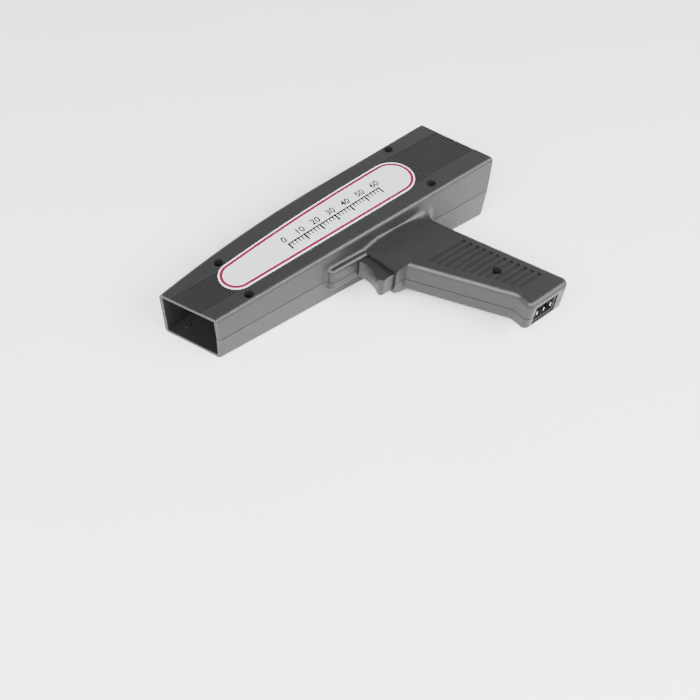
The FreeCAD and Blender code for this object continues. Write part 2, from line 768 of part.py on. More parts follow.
def housing(side):
    outside = case_outside(side)
    inner = barrel_block("inside_" + side, side, WALL, as_size(SLACK))
    grip = handle_core("grip_core_" + side, side)
    shell = cut("shell_" + side, outside, [fuse("cores_" + side, [inner, grip])])
    posts, holes = left_wells() if side == "left" else right_bosses()
    extra = [socket_stop(side)]
    if side == "right":
        extra += board_standoffs() + trigger_supports()
        place = (as_size(-2.8), as_size(34.4), -size("mouth_right") + WALL / 2)
        mark = cylinder("floor_mark", place, "z", as_size(2.2), WALL / 2 + 1.0)
        bore = cylinder("floor_ring_bore", place, "z", as_size(1.1), as_size(SLACK))
        extra.append(cut("floor_ring", mark, [bore]))
    filled = fuse("filled_" + side, [shell] + posts + extra)
    seat = size("seat_deep")
    gap = size("fit_gap")
    removed = holes + grooves(side) + [rib_slots(side)]
    removed.append(cross_slab("lens_seat_" + side, size("lens_x") - gap,
                              size("ring_thick") + gap * 2, WALL - seat))
    removed.append(cross_slab("lamp_seat_" + side, size("reflector_x") - gap, size("holder_thick") + gap * 2,
                              WALL - seat))
    removed.append(panel_slab("panel_seat_" + side, WALL - seat, size("panel_inset") - gap,
                              size("panel_thick") + gap * 2))
    removed.append(socket_box("socket_opening_" + side, gap, -as_size(1), size("wall") + 2.0))
    removed.append(trigger_window("trigger_window_" + side))
    if side == "left":
        removed.append(label_solid("label_recess", size("fit_gap"), -size("label_sunk"), as_size(SLACK)))
    else:
        removed += standoff_holes()
    return node(side + "_housing", cut(side + "_housing", filled, removed))


def board_corners():
    inset = size("board_inset")
    xs = (size("board_x") + inset, size("board_x") + size("board_long") - inset)
    ys = (size("board_y") + inset, size("board_y") + size("board_wide") - inset)
    return [(x, y) for x in xs for y in ys]


def board_standoffs():
    posts = []
    for index, (x, y) in enumerate(board_corners()):
        floor = half_height("right", x) - WALL / 2
        posts.append(cylinder("standoff%d" % index, (x, y, -floor), "z", size("standoff_radius"),
                              floor - size("board_z") - size("board_thick")))
    return posts


def standoff_holes():
    holes = []
    for index, (x, y) in enumerate(board_corners()):
        low = -(size("board_z") + size("board_screw_long"))
        holes.append(cylinder("standoff_hole%d" % index, (x, y, low), "z", size("board_screw_hole") + 0.03,
                              as_size(SLACK)))
    return holes


def case_screws():
    barrel, grip = [], []
    for tag, x, y, _, _ in screw_places():
        seat = head_seat(tag)
        long = size("screw_length") if tag != "grip" else size("grip_screw_length")
        head = cylinder("head_" + tag, (x, y, seat), "z", size("screw_head") / 2, size("screw_head_high"))
        cross = size("screw_head") / 10
        arm = size("screw_head") / 2
        top = seat + size("screw_head_high") / 2
        bars = [box("recess_a_" + tag, (x - arm / 2, y - cross / 2, top), (arm, cross, as_size(SLACK))),
                box("recess_b_" + tag, (x - cross / 2, y - arm / 2, top), (cross, arm, as_size(SLACK)))]
        shank = cylinder("shank_" + tag, (x, y, seat - long), "z", size("screw_shank") / 2, long)
        screw = cut("screw_" + tag, fuse("screw_body_" + tag, [head, shank]), bars)
        (grip if tag == "grip" else barrel).append(screw)
    node("barrel_screws", group("barrel_screws", barrel))
    node("grip_screw", group("grip_screw", grip))


# ---------------------------------------------------------------- optics

def optics():
    gap = size("fit_gap")
    axis = size("axis_y")
    radius = size("lens_radius")
    zero = as_size(0)
    plate = cross_slab("ring_plate", size("lens_x"), size("ring_thick"), WALL - size("seat_deep") + gap)
    bore = cylinder("ring_bore", (size("lens_x") - 1, axis, zero), "x", radius - 1.2,
                    size("ring_thick") + 2)
    ledge = size("lens_x") + size("ring_thick") - size("lens_edge") - gap
    seat = cylinder("ring_seat", (ledge, axis, zero), "x", radius + gap, as_size(SLACK))
    node("lens_ring", cut("lens_ring", plate, [bore, seat]))
    lens = new_body("lens")
    sketch = new_sketch(lens, "lens_half", "XY_Plane")
    start = size("lens_x") + size("ring_thick") - size("lens_edge")
    rim = start + size("lens_edge")
    crown = number("lens_crown")
    bow = (radius.value ** 2 + crown ** 2) / (2 * crown)
    span = Size("((Sizes.lens_radius ^ 2 + Sizes.lens_crown ^ 2) / (2 * Sizes.lens_crown))", bow)
    side_x = rim.value + crown - (bow - math.sqrt(bow ** 2 - (radius.value / 2) ** 2))
    points = [(start, axis), (start, axis - radius), (rim, axis - radius), (rim + size("lens_crown"), axis)]
    draw_loop(sketch, points, {2: (as_size(side_x), axis - radius / 2, span)})
    turn = lens.newObject("PartDesign::Revolution", "lens_turn")
    turn.Profile = sketch
    turn.ReferenceAxis = (sketch, ["Edge4"])
    turn.Angle = 360
    node("lens", lens)
    flash_unit(gap, axis)


def flash_unit(gap, axis):
    """Cradle plate, reflector trough, straight tube with its end caps, ignition coil."""
    reach = size("reflector_half")
    high = size("reflector_high")
    back = size("reflector_x") - gap
    outer = cylinder("trough_outer", (back - reach, axis, -high / 2), "z", reach, high)
    inner = cylinder("trough_inner", (back - reach, axis, -high / 2 - 1), "z",
                     reach - size("reflector_sheet"), high + 2)
    keep = box("trough_keep", (back - size("reflector_deep"), axis - reach - 1, -high),
               (size("reflector_deep") + 1, reach * 2 + 2, high * 2))
    node("reflector", common("reflector", [cut("trough_wall", outer, [inner]), keep]))
    focus_x = back - reach / 2 - size("focus") / 2
    half = size("tube_length") / 2
    glass = cylinder("glass_outer", (focus_x, axis, -half), "z", size("tube_radius"), half * 2)
    hollow = cylinder("glass_bore", (focus_x, axis, 1.0 - half), "z", size("tube_radius") - 0.6,
                      half * 2 - 2)
    node("flash_tube", cut("flash_tube", glass, [hollow]))
    caps = []
    holder = cross_slab("holder_plate", size("reflector_x"), size("holder_thick"),
                        WALL - size("seat_deep") + gap)
    slots = []
    cap_radius = size("tube_radius") + 0.4
    for index, low in enumerate((-half - size("cap_length"), half)):
        end = cylinder("cap_end%d" % index, (focus_x, axis, low), "z", cap_radius, size("cap_length"))
        leg = box("cap_leg%d" % index, (focus_x, axis - 0.5, low + 1),
                  (size("reflector_x") + size("holder_thick") + 3.0 - focus_x, as_size(1.0), as_size(1.0)))
        caps.append(fuse("cap%d" % index, [end, leg]))
        slots.append(box("leg_slot%d" % index, (size("reflector_x") - 1, axis - 0.6, low + 0.9),
                         (size("holder_thick") + 2, as_size(1.2), as_size(1.2))))
    node("tube_caps", group("tube_caps", caps))
    node("lamp_holder", cut("lamp_holder", holder, slots))
    radius = size("coil_radius")
    coil_x = size("reflector_x") + size("holder_thick") + radius
    long = size("coil_length")
    core = cylinder("coil_core", (coil_x, axis, -long / 2 - 1), "z", radius * 0.55, long + 2)
    winding = cylinder("coil_turns", (coil_x, axis, -long / 2), "z", radius, long)
    node("trigger_coil", fuse("trigger_coil", [core, winding]))


# ---------------------------------------------------------------- electronics

def electronics():
    top = -size("board_z")
    base = top - size("board_thick")
    x, y = size("board_x"), size("board_y")
    plate = box("board_plate", (x, y, base), (size("board_long"), size("board_wide"), size("board_thick")))
    drills = []
    screws = []
    hole = size("board_screw_hole")
    long = size("board_screw_long")
    for index, (sx, sy) in enumerate(board_corners()):
        drills.append(cylinder("board_drill%d" % index, (sx, sy, base - 1), "z", hole + 0.3,
                               size("board_thick") + 2))
        shank = cylinder("board_shank%d" % index, (sx, sy, top - long + 0.5), "z", hole, long - 0.5)
        head = cylinder("board_head%d" % index, (sx, sy, top), "z", hole * 2, as_size(1.6))
        screws.append(fuse("board_screw%d" % index, [shank, head]))
    node("main_board", cut("main_board", plate, drills))
    node("board_screws", group("board_screws", screws))
    radius = size("capacitor_radius")
    can = cylinder("capacitor_can", (x + 31, y + size("board_wide") - radius - 1, top + radius), "x",
                   radius, size("capacitor_long"))
    node("flash_capacitor", group("flash_capacitor", [can]))
    transformer(x + 8, y + 4.5, top)
    sink_x = x + 46
    wide, thick = size("sink_wide"), size("sink_thick")
    sink = box("sink_plate", (sink_x, y + 6, top), (wide, thick, size("sink_high")))
    foot = box("sink_foot", (sink_x, y + 6, top), (wide, as_size(6), thick))
    node("heat_sink", fuse("heat_sink", [sink, foot]))
    case_y = y + 6 - size("package_thick")
    package = box("package_case", (sink_x + 4, case_y, top + 5),
                  (as_size(10), size("package_thick"), as_size(9)))
    legs = []
    for index in range(3):
        legs.append(box("package_leg%d" % index, (sink_x + 6.1 + index * 2.54, case_y + 1.5, top),
                        (as_size(0.8), as_size(0.6), as_size(5.5))))
    node("power_transistor", fuse("power_transistor", [package] + legs))
    chips = []
    for index in range(2):
        chips.append(box("chip%d" % index, (x + 68, y + 10 + index * 9, top),
                         (as_size(9), as_size(7), size("chip_high"))))
    node("board_chips", group("board_chips", chips))
    header = box("header_block", (x + 31, y + 1.5, top), (as_size(12), as_size(6.5), as_size(7)))
    node("power_header", group("power_header", [header]))


def transformer(x, y, top):
    long, wide, high = size("core_long"), size("core_wide"), size("core_high")
    leg = size("core_leg")
    gap = size("bobbin_gap")
    base = top + 1.0
    block = box("core_block", (x, y, base), (long, wide, high))
    window_long = (long - leg * 2) / 2
    windows = []
    for index in range(2):
        start = x + leg / 2 + (window_long + leg) * index
        windows.append(box("core_window%d" % index, (start, y - 1, base + leg / 2),
                           (window_long, wide + 2, high - leg)))
    node("inverter_core", cut("inverter_core", block, windows))
    around = box("winding_block", (x + leg / 2 + gap, y - 2.5, base + leg / 2 + gap),
                 (long - leg - gap * 2, wide + 5, high - leg - gap * 2))
    centre = box("winding_bore", (x + leg / 2 + window_long - gap, y - gap, base),
                 (leg + gap * 2, wide + gap * 2, high))
    node("inverter_winding", cut("inverter_winding", around, [centre]))


def rear_panel():
    gap = size("fit_gap")
    inset = size("panel_inset")
    plate = panel_slab("panel_plate", WALL - size("seat_deep") + gap, inset, size("panel_thick"))
    opening = placed_box("panel_opening", -inset - size("panel_thick") - 1, size("display_up"),
                         size("display_high"), size("display_wide"), size("panel_thick") + 2)
    holes = [opening]
    for index in range(3):
        holes.append(key_rod("key_hole%d" % index, -inset - size("panel_thick") - 1, index,
                                size("key_radius") + size("key_gap"), size("panel_thick") + 2))
    depth = size("window_thick") + 0.2 + size("module_deep")
    pillars = []
    for index, (up, across) in enumerate(((11, -17.2), (11, 17.2), (25.5, -17.2), (25.5, 17.2))):
        pillars.append(placed_rod("pillar%d" % index, -inset - size("panel_thick") - depth, up, across, 2.0,
                                  depth + 0.5))
    node("rear_panel", cut("rear_panel", fuse("panel_body", [plate] + pillars), holes))
    back = -inset - size("panel_thick")
    pane = placed_box("pane", back, size("display_up"), size("display_high") - gap * 2,
                      size("display_wide") - gap * 2, size("panel_thick") - 0.4)
    lip = placed_box("pane_lip", back - size("window_thick"), size("display_up"),
                     size("display_high") + size("window_lip") * 2,
                     size("display_wide") + size("window_lip") * 2, size("window_thick"))
    node("display_window", fuse("display_window", [pane, lip]))
    module_back = back - size("window_thick") - 0.2 - size("module_deep")
    node("display_module", group("display_module", [placed_box(
        "module_block", module_back, size("display_up"), size("display_high") + 2,
        size("display_wide") + 2, size("module_deep"))]))
    board_top = module_back
    middle = (size("display_up") + size("key_up")) / 2 + 1
    board = placed_box("display_plate", board_top - size("board_thick"), middle, as_size(42),
                       as_size(40), size("board_thick"))
    node("display_board", group("display_board", [board]))
    switches = []
    for index, label in enumerate(("minus_button", "mode_button", "plus_button")):
        cap = key_rod("key_cap%d" % index, back - 0.6, index, size("key_radius"),
                      size("panel_thick") + 0.6 + size("key_out"))
        flange = key_rod("key_flange%d" % index, back - size("key_gap") - size("key_flange"), index,
                         size("key_radius") + 1.0, size("key_flange"))
        stem = key_rod("key_stem%d" % index, board_top + 3.2, index, as_size(1.4),
                       back - 0.3 - board_top - 3.2)
        node(label, fuse(label, [cap, flange, stem]))
        body = placed_box("key_switch%d" % index, board_top, size("key_up"), size("key_switch_side"),
                          size("key_switch_side"), as_size(3.6), size("key_pitch") * (index - 1))
        bore = key_rod("key_switch_bore%d" % index, board_top + 1.6, index, as_size(1.7), as_size(SLACK))
        switches.append(cut("tactile%d" % index, body, [bore]))
    node("key_switches", group("key_switches", switches))


def placed_box(name, start, up, tall, wide, deep, across=None):
    """Box in panel axes: start along X, centred on up along Y and on across along Z."""
    across = as_size(0) if across is None else across
    item = doc.addObject("Part::Box", name)
    bind(item, "Length", as_size(deep))
    bind(item, "Width", as_size(tall))
    bind(item, "Height", as_size(wide))
    low = V(value_of(start), value_of(up) - value_of(tall) / 2, value_of(across) - value_of(wide) / 2)
    item.Placement = PANEL.multiply(FreeCAD.Placement(low, FreeCAD.Rotation()))
    return item


def placed_rod(name, start, up, across, radius, deep):
    """Cylinder along the panel's X, starting at start."""
    item = doc.addObject("Part::Cylinder", name)
    bind(item, "Radius", as_size(radius))
    bind(item, "Height", as_size(deep))
    low = FreeCAD.Placement(V(value_of(start), value_of(up), value_of(across)), TURNS["x"])
    item.Placement = PANEL.multiply(low)
    return item


def key_rod(name, start, index, radius, deep):
    """Cylinder along the panel's X at one of the three key places."""
    return placed_rod(name, start, size("key_up"), size("key_pitch") * (index - 1), radius, deep)


# ---------------------------------------------------------------- trigger group

def trigger_group():
    x, far = size("trigger_x"), size("trigger_y")
    near = size("rail_out") + size("trigger_gap")
    dish = size("trigger_dish")
    left, right = size("trigger_left"), size("trigger_right")
    flange = size("flange_x")
    chord = math.hypot(2.0, (far - near).value)
    radius = ((far - near) * (far - near) + 4.0) / (dish * 8) + dish / 2
    body = new_body("trigger_body")
    low = FreeCAD.Placement(V(0, 0, -right.value), FreeCAD.Rotation())
    sketch = new_sketch(body, "trigger_plan", "XY_Plane", low)
    bind(sketch, "AttachmentOffset.Base.z", -right)
    points = [(x + 2.0, -near), (x, -far), (flange, -far), (flange, -near)]
    mid_x = x + 1.0 + dish * ((far - near).value / chord)
    mid_y = -(far + near) / 2 - dish * (2.0 / chord)
    draw_loop(sketch, points, {0: (mid_x, mid_y, radius)})
    base = pad(body, "trigger_pad", sketch, left + right)
    tip = size("trigger_tip")
    corner = vertical_at(x, -far, 1.5)
    base = round_edges(body, "trigger_tip_round", base, tip, corner)
    over = size("flange_over")
    rim = box("trigger_rim", (flange - 0.5, -far + 1.5, -right - over),
              (size("flange_thick") + 0.5, far - near - 2.0, left + right + over * 2 - 0.2))
    post_start = (flange + size("flange_thick") - 0.5, -size("spring_y"), (left - right) / 2)
    post = cylinder("trigger_post", post_start, "x", size("post_radius"), size("post_length") + 0.5)
    node("trigger", fuse("trigger", [body, rim, post]))
    start = flange + size("flange_thick") + 0.05
    node("trigger_spring", helix_spring("trigger_spring", start.value, -number("spring_y"),
                                        (left - right).value / 2))
    sx, sy = size("switch_x"), size("switch_y")
    centre_z = (left - right) / 2
    body = box("switch_block", (sx, -sy - size("switch_wide") / 2, centre_z - size("switch_high") / 2),
               (size("switch_long"), size("switch_wide"), size("switch_high")))
    side = size("button_side")
    bore = box("switch_bore", (sx - 1, -sy - side / 2 - 0.1, centre_z - side / 2 - 0.1),
               (size("button_bore") + 1, side + 0.2, side + 0.2))
    tabs = []
    for index in range(2):
        low = (sx + size("switch_long"), -sy - 0.4, centre_z - 2.9 + index * 5.0)
        tabs.append(box("switch_tab%d" % index, low, (as_size(3), as_size(0.8), as_size(0.8))))
    node("trigger_switch", cut("trigger_switch", fuse("switch_shell", [body] + tabs), [bore]))
    node("switch_button", group("switch_button", [box(
        "button_block", (start, -sy - side / 2, centre_z - side / 2),
        (sx + size("button_hold") - start, side, side))]))


def trigger_supports():
    """Cradle for the switch, its stop and the spring's stop, on the right half's floor."""
    floor = -size("grip_right") + WALL / 2
    middle = (size("trigger_left") - size("trigger_right")) / 2
    under = middle - size("switch_high") / 2
    sx, sy = size("switch_x"), size("switch_y")
    half = size("switch_wide") / 2
    bed = box("switch_bed", (sx + 1, -sy - half, floor), (size("switch_long") - 2, half * 2, under - floor))
    cheeks = []
    for index, low in enumerate((-sy - half - 1.3, half - sy + 0.1)):
        cheeks.append(box("switch_cheek%d" % index, (sx + 2, low, floor),
                          (size("switch_long") - 4, as_size(1.2), middle - floor)))
    back = box("switch_stop", (sx + size("switch_long") + 0.1, -sy - half, floor),
               (as_size(1.5), half * 2, under + 1.2 - floor))
    stop_x = size("flange_x") + size("flange_thick") + size("spring_length") + 0.15
    reach = size("spring_radius") + 1
    spring = box("spring_stop", (stop_x, -size("spring_y") - reach - 0.6, floor),
                 (as_size(1.5), reach * 2 + 0.6, middle + size("spring_radius") - floor))
    return [bed, back, spring] + cheeks


def socket_stop(side):
    """Rib behind the connector's flange."""
    deep = size("wall") + size("fit_gap") * 2 + 1.6
    top = grip_height(side) - WALL / 2
    edge = size("socket_high") / 2 + signed(side, size("socket_z")) + 0.2
    low = edge if side == "left" else -top
    return box("socket_stop_" + side, (size("socket_x") - 8, deep - size("grip_end_y"), low),
               (as_size(16), as_size(1.5), top - edge))


def helix_spring(name, x, y, z):
    """Round wire coil along +X from x."""
    wire_radius = number("spring_wire") / 2
    radius = number("spring_radius") - wire_radius
    high = number("spring_length") - wire_radius * 2
    helix = Part.makeHelix(high / number("spring_turns"), high, radius)
    profile = Part.Wire(Part.makeCircle(wire_radius, V(radius, 0, 0), V(0, 1, 0)))
    coil = Part.Wire(helix).makePipeShell([profile], True, True)
    item = doc.addObject("Part::Feature", name)
    coil.Placement = FreeCAD.Placement(V(x + wire_radius, y, z), TURNS["x"])
    item.Shape = coil
    return group(name + "_group", [item])


# ---------------------------------------------------------------- connector and wiring

def connector():
    gap = size("fit_gap")
    sunk = size("socket_sunk")
    deep = size("socket_deep")
    outer = socket_box("socket_outer", as_size(0), sunk, deep)
    flange = socket_box("socket_flange", size("flange_side"), size("wall") + gap, as_size(1.6))
    hollow = socket_box("socket_hollow", -size("socket_wall"), as_size(-1), size("socket_cavity") + sunk + 1)
    pins = []
    drills = []
    inner_end = sunk + size("socket_cavity")
    for index in range(3):
        px = size("socket_x") + (index - 1) * size("pin_pitch")
        wide, thick = size("pin_wide"), size("pin_thick")
        start = inner_end - size("pin_out")
        length = deep + sunk + size("pin_tail") - start
        low = (px - thick / 2, start - size("grip_end_y"), size("socket_z") - wide / 2)
        pins.append(box("pin%d" % index, low, (thick, length, wide)))
        drills.append(box("pin_slot%d" % index, low, (thick, length, wide)))
    shell = fuse("socket_shell", [outer, flange])
    node("connector_socket", cut("connector_socket", shell, [hollow] + drills))
    node("connector_pins", group("connector_pins", pins))
    return deep + sunk + size("pin_tail")


def tube_along(name, points, radius, bends):
    """Round lead through points: straight runs joined by tangent arcs."""
    edges = []
    here = points[0]
    for before, corner, after, bend in zip(points, points[1:], points[2:], bends):
        into = (corner - before).normalize()
        out = (after - corner).normalize()
        half = into.getAngle(out) / 2
        trim = bend * math.tan(half)
        start = corner - into * trim
        end = corner + out * trim
        inward = (out - into).normalize()
        centre = corner + inward * (bend / math.cos(half))
        middle = centre - inward * bend
        edges.append(Part.LineSegment(here, start).toShape())
        edges.append(Part.Arc(start, middle, end).toShape())
        here = end
    edges.append(Part.LineSegment(here, points[-1]).toShape())
    path = Part.Wire(edges)
    direction = (points[1] - points[0]).normalize()
    profile = Part.Wire(Part.makeCircle(radius, points[0], direction))
    item = doc.addObject("Part::Feature", name)
    item.Shape = path.makePipeShell([profile], True, True)
    return item


def wiring(pin_end):
    """Three supply leads from the connector to the board, two from the lamp to the board."""
    radius = number("lead_radius")
    top = -number("board_z")
    z = top + 4.2
    leads = []
    for index in range(3):
        pin_x = number("socket_x") + (index - 1) * number("pin_pitch")
        start_y = pin_end.value - number("grip_end_y") + 0.05
        pass_x = number("grip_screw_x") + 7.4 + index * number("lead_pitch")
        end_x = number("board_x") + 33.0 + index * 3.96
        points = [V(pin_x, start_y, number("socket_z")), V(pin_x, start_y + 3.5, number("socket_z")),
                  V(pass_x, -number("grip_screw_y"), number("socket_z")), V(end_x, -3.0, z),
                  V(end_x, number("board_y") + 1.45, z)]
        leads.append(tube_along("power_lead%d" % index, points, radius, (3.0, 12.0, 12.0)))
    node("power_harness", group("power_harness", leads))
    leg_x = number("reflector_x") + number("holder_thick") + 3.05
    half = number("tube_length") / 2
    y = number("axis_y")
    low_z = 1.5 - half - number("cap_length")
    under = top - number("board_thick") - 0.05
    low_x = number("board_x") + 5.0
    high_x = number("board_x") + 3.0
    lower = [V(leg_x, y, low_z), V(low_x, y, low_z), V(low_x, y, under)]
    upper = [V(leg_x, y, half + 1.5), V(high_x, y, half + 1.5), V(high_x, y, top + 0.05)]
    node("lamp_leads", group("lamp_leads", [tube_along("lamp_lead_low", lower, 0.9, (3.0,)),
                                            tube_along("lamp_lead_high", upper, 0.9, (7.0,))]))


def label():
    plate = label_solid("label_plate", as_size(0), -size("label_sunk") + 0.02,
                        size("label_thick") - size("label_sunk"))
    node("label_plate", plate)


# ---------------------------------------------------------------- assembly

def lay_down():
    """Placement that sets the right half's flat on the ground, with the box centred."""
    angle = math.degrees(math.atan(RIGHT_TILT.value))
    turn = FreeCAD.Placement(V(0, 0, 0), FreeCAD.Rotation(V(0, 1, 0), -angle))
    whole = FreeCAD.BoundBox()
    for item in NODES.values():
        shape = item.Shape.copy()
        shape.Placement = turn.multiply(shape.Placement)
        whole.add(shape.optimalBoundingBox(False))
    shift = V(-(whole.XMin + whole.XMax) / 2, -(whole.YMin + whole.YMax) / 2, -whole.ZMin)
    return FreeCAD.Placement(shift, FreeCAD.Rotation()).multiply(turn)


def check_document():
    for item in doc.Objects:
        if "Invalid" in item.State or "Error" in item.State:
            raise RuntimeError("%s: %s" % (item.Name, item.State))
    for name, item in NODES.items():
        if item.Shape.isNull() or not item.Shape.isValid() or item.Shape.Volume <= 0:
            raise RuntimeError("bad shape: " + name)


housing("left")
housing("right")
case_screws()
label()
optics()
electronics()
rear_panel()
trigger_group()
wiring(connector())
doc.recompute()
check_document()
FRAME = lay_down()
os.makedirs("parts", exist_ok=True)
for name, item in NODES.items():
    item.Placement = FRAME.multiply(item.Placement)
doc.recompute()
check_document()
for name, item in NODES.items():
    item.Shape.exportStep("parts/%s.step" % name)
    print(name, len(item.Shape.Solids), round(item.Shape.Volume, 1))
print("frame", FRAME.Base, FRAME.Rotation.Axis, math.degrees(FRAME.Rotation.Angle))
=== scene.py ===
import math

import bmesh
import bpy
from mathutils import Matrix, Vector
from mathutils.bvhtree import BVHTree


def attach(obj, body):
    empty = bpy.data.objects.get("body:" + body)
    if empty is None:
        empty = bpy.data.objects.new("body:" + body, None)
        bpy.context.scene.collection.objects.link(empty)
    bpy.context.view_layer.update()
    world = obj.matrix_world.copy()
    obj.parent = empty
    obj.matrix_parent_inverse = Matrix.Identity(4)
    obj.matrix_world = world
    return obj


# Timing light on its right side.  Lengths are metres; the working frame used for the placing
# helpers is the one the case is drawn in: X from the muzzle to the rear, Y from the grip
# towards the spine, Z up through the labelled half, tilted so that the right half lies flat.

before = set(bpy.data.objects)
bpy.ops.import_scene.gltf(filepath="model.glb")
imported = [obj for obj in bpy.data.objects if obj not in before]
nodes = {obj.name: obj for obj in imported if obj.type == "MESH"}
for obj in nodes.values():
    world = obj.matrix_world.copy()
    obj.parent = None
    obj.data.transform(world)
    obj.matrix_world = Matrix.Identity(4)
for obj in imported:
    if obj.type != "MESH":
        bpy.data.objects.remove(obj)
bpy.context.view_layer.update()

MM = 0.001
TILT = math.atan((26.0 - 18.4) / 230.0)
BASE = Vector((-0.10708033, 0.0215, 0.01838996))
LAY = Matrix.Translation(BASE) @ Matrix.Rotation(-TILT, 4, "Y")
RAKE = math.atan(15.8 / 60.2)
PANEL = LAY @ Matrix.Translation((0.230, 0, 0)) @ Matrix.Rotation(RAKE, 4, "Z")
LABEL_TILT = math.atan((28.5 - 18.0) / 230.0)
LABEL = LAY @ Matrix.Translation((0, 0, 0.018)) @ Matrix.Rotation(-LABEL_TILT, 4, "Y")
LABEL_TOP = 0.25 * MM


# ---------------------------------------------------------------- materials

class Nodes:
    """Short-hand for building a node material."""

    def __init__(self, name):
        self.material = bpy.data.materials.new(name)
        self.material.use_nodes = True
        self.tree = self.material.node_tree
        self.shader = self.tree.nodes["Principled BSDF"]
        self.coords = self.tree.nodes.new("ShaderNodeTexCoord").outputs["Object"]

    def add(self, kind, **values):
        item = self.tree.nodes.new(kind)
        for key, value in values.items():
            if key in item.inputs:
                item.inputs[key].default_value = value
            else:
                setattr(item, key, value)
        return item

    def link(self, a, b):
        self.tree.links.new(a, b)

    def noise(self, scale, detail=2.0, roughness=0.5, stretch=None):
        item = self.add("ShaderNodeTexNoise", Scale=scale, Detail=detail, Roughness=roughness)
        source = self.coords
        if stretch:
            mapping = self.add("ShaderNodeMapping")
            mapping.inputs["Scale"].default_value = stretch
            self.link(source, mapping.inputs["Vector"])
            source = mapping.outputs["Vector"]
        self.link(source, item.inputs["Vector"])
        return item.outputs["Fac"]

    def cells(self, scale):
        item = self.add("ShaderNodeTexVoronoi", Scale=scale)
        self.link(self.coords, item.inputs["Vector"])
        return item.outputs["Distance"]

    def span(self, value, low, high, start=0.0, end=1.0):
        item = self.add("ShaderNodeMapRange")
        item.inputs["From Min"].default_value = start
        item.inputs["From Max"].default_value = end
        item.inputs["To Min"].default_value = low
        item.inputs["To Max"].default_value = high
        self.link(value, item.inputs["Value"])
        return item.outputs["Result"]

    def math(self, operation, a, b):
        item = self.add("ShaderNodeMath", operation=operation)
        for index, value in enumerate((a, b)):
            if isinstance(value, (int, float)):
                item.inputs[index].default_value = value
            else:
                self.link(value, item.inputs[index])
        return item.outputs[0]

    def ramp(self, value, stops):
        item = self.add("ShaderNodeValToRGB")
        elements = item.color_ramp.elements
        while len(elements) < len(stops):
            elements.new(0.5)
        for element, (place, colour) in zip(elements, stops):
            element.position = place
            element.color = (*colour, 1.0)
        self.link(value, item.inputs["Fac"])
        return item.outputs["Color"]

    def bump(self, height, strength, distance):
        item = self.add("ShaderNodeBump", Strength=strength, Distance=distance)
        self.link(height, item.inputs["Height"])
        self.link(item.outputs["Normal"], self.shader.inputs["Normal"])

    def set(self, **values):
        for key, value in values.items():
            self.shader.inputs[key.replace("_", " ")].default_value = value


def shade(colour, factor):
    return tuple(min(1.0, c * factor) for c in colour)


def plastic(name, colour, rough=(0.42, 0.55), grain=2600.0, bump=0.35, spread=0.12, coat=0.0,
            gloss=0.5):
    """Moulded plastic: spark-eroded grain, faint flow patches, slight polish changes."""
    m = Nodes(name)
    patches = m.noise(38.0, 3.0)
    fine = m.noise(grain, 2.5, 0.6)
    pits = m.cells(grain * 0.55)
    tint = m.math("ADD", m.math("MULTIPLY", patches, 0.6), m.math("MULTIPLY", fine, 0.4))
    m.link(m.ramp(tint, [(0.32, shade(colour, 1 - spread)), (0.68, shade(colour, 1 + spread))]),
           m.shader.inputs["Base Color"])
    polish = m.math("ADD", m.math("MULTIPLY", m.noise(120.0, 4.0), 0.5), m.math("MULTIPLY", fine, 0.5))
    m.link(m.span(polish, rough[0], rough[1], 0.3, 0.7), m.shader.inputs["Roughness"])
    m.bump(m.math("ADD", fine, m.math("MULTIPLY", pits, 0.5)), bump, 0.00012)
    m.set(Specular_IOR_Level=gloss)
    if coat:
        m.set(Coat_Weight=coat, Coat_Roughness=0.25)
    return m.material


def metal(name, colour, rough=(0.22, 0.38), stretch=(1.0, 1.0, 1.0), scale=900.0, bump=0.08):
    m = Nodes(name)
    lines = m.noise(scale, 4.0, 0.6, stretch)
    patches = m.noise(60.0, 2.0)
    m.link(m.ramp(patches, [(0.3, shade(colour, 0.88)), (0.7, colour)]), m.shader.inputs["Base Color"])
    m.link(m.span(lines, rough[0], rough[1], 0.3, 0.7), m.shader.inputs["Roughness"])
    m.bump(lines, bump, 0.00005)
    m.set(Metallic=1.0)
    return m.material


def clear(name, colour, rough=0.03, ior=1.49, dust=0.03):
    m = Nodes(name)
    m.link(m.span(m.noise(240.0, 4.0), rough, rough + dust, 0.35, 0.75), m.shader.inputs["Roughness"])
    m.link(m.ramp(m.noise(30.0), [(0.3, shade(colour, 0.96)), (0.7, colour)]), m.shader.inputs["Base Color"])
    m.set(Transmission_Weight=1.0, IOR=ior)
    return m.material


def film(name, colour, low=0.95, rough=(0.3, 0.4), gloss=0.5):
    """Printed label film, very slightly mottled."""
    m = Nodes(name)
    m.link(m.ramp(m.noise(420.0, 3.0), [(0.3, shade(colour, low)), (0.7, colour)]),
           m.shader.inputs["Base Color"])
    m.link(m.span(m.noise(90.0, 3.0), rough[0], rough[1], 0.3, 0.7), m.shader.inputs["Roughness"])
    m.bump(m.noise(1500.0, 2.0), 0.05, 0.00005)
    m.set(Specular_IOR_Level=gloss)
    return m.material


